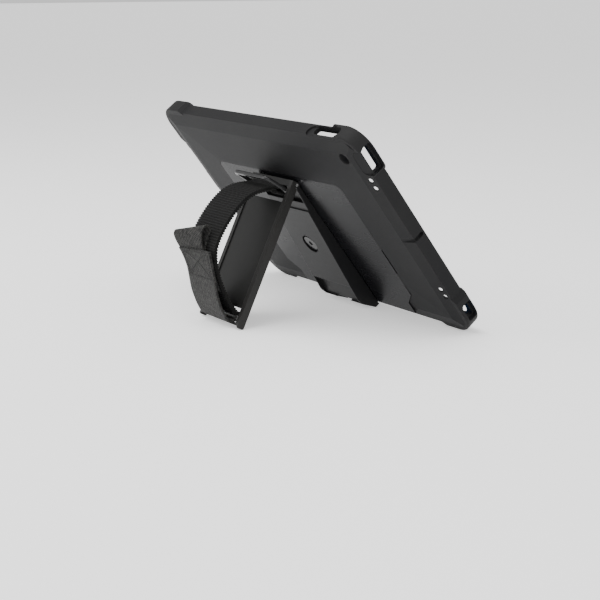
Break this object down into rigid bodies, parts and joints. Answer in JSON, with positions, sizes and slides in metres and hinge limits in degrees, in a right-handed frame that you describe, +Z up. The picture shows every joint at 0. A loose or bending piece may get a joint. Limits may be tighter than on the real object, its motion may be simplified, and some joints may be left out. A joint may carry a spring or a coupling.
{
  "type": "rugged tablet case with kickstand and hand strap",
  "caption": "Rugged landscape tablet case with corner bumpers, shock pads, a glossy back panel and a swivelling kickstand that carries an elastic hand strap.",
  "frame": {"origin": "centre of the bounding box's underside, on the ground the standing case rests on", "axes": "+Z up; +X along the case's long side, from the tablet's top short side (at -X) to its foot (at +X); the screen side faces -Y and up, the kickstand stands out towards +Y"},
  "size_m": [0.269, 0.173, 0.1568],
  "materials": {
    "shell_rubber": "matt, finely grained",
    "panel_gloss": "smooth, half gloss",
    "plate_plastic": "matt",
    "label_paper": "printed sticker",
    "pad_blue": "satin, soft",
    "steel": "bright",
    "black_steel": "black coated",
    "base_plastic": "satin",
    "kickstand_metal": "black, satin",
    "elastic": "ribbed elastic",
    "hook_tape": "hook and loop",
    "webbing": "woven webbing"
  },
  "bodies": {
    "case": {"bumper_shell": "shell_rubber", "back_panel": "panel_gloss", "inner_plate": "plate_plastic", "info_label": "label_paper", "shock_pad_jack": "pad_blue", "shock_pad_power": "pad_blue", "shock_pad_base_low": "pad_blue", "shock_pad_base_high": "pad_blue", "corner_pad_jack": "pad_blue", "corner_pad_power": "pad_blue", "corner_pad_base_low": "pad_blue", "corner_pad_base_high": "pad_blue", "plate_screws": "steel", "hub_nut": "steel", "hub_screw": "black_steel", "hub_washer": "steel"},
    "swivel": {"swivel_base": "base_plastic"},
    "kickstand": {"kickstand_plate": "kickstand_metal", "hinge_pin": "steel", "strap_pin_top": "steel", "strap_pin_bottom": "steel", "strap_ring": "black_steel", "strap_elastic": "elastic", "hook_patch": "hook_tape", "strap_webbing": "webbing", "pull_tab": "webbing"}
  },
  "joints": [
    {"name": "swivel_turn", "type": "hinge", "parent": "case", "child": "swivel", "pos_m": [0, -0.02973, 0.05748], "axis": [0, -0.7965, 0.6046], "continuous": true},
    {"name": "kickstand_fold", "type": "hinge", "parent": "swivel", "child": "kickstand", "pos_m": [0, 0.00846, 0.10383], "axis": [1, 0, 0], "range_deg": [-57.9, 0]}
  ]
}
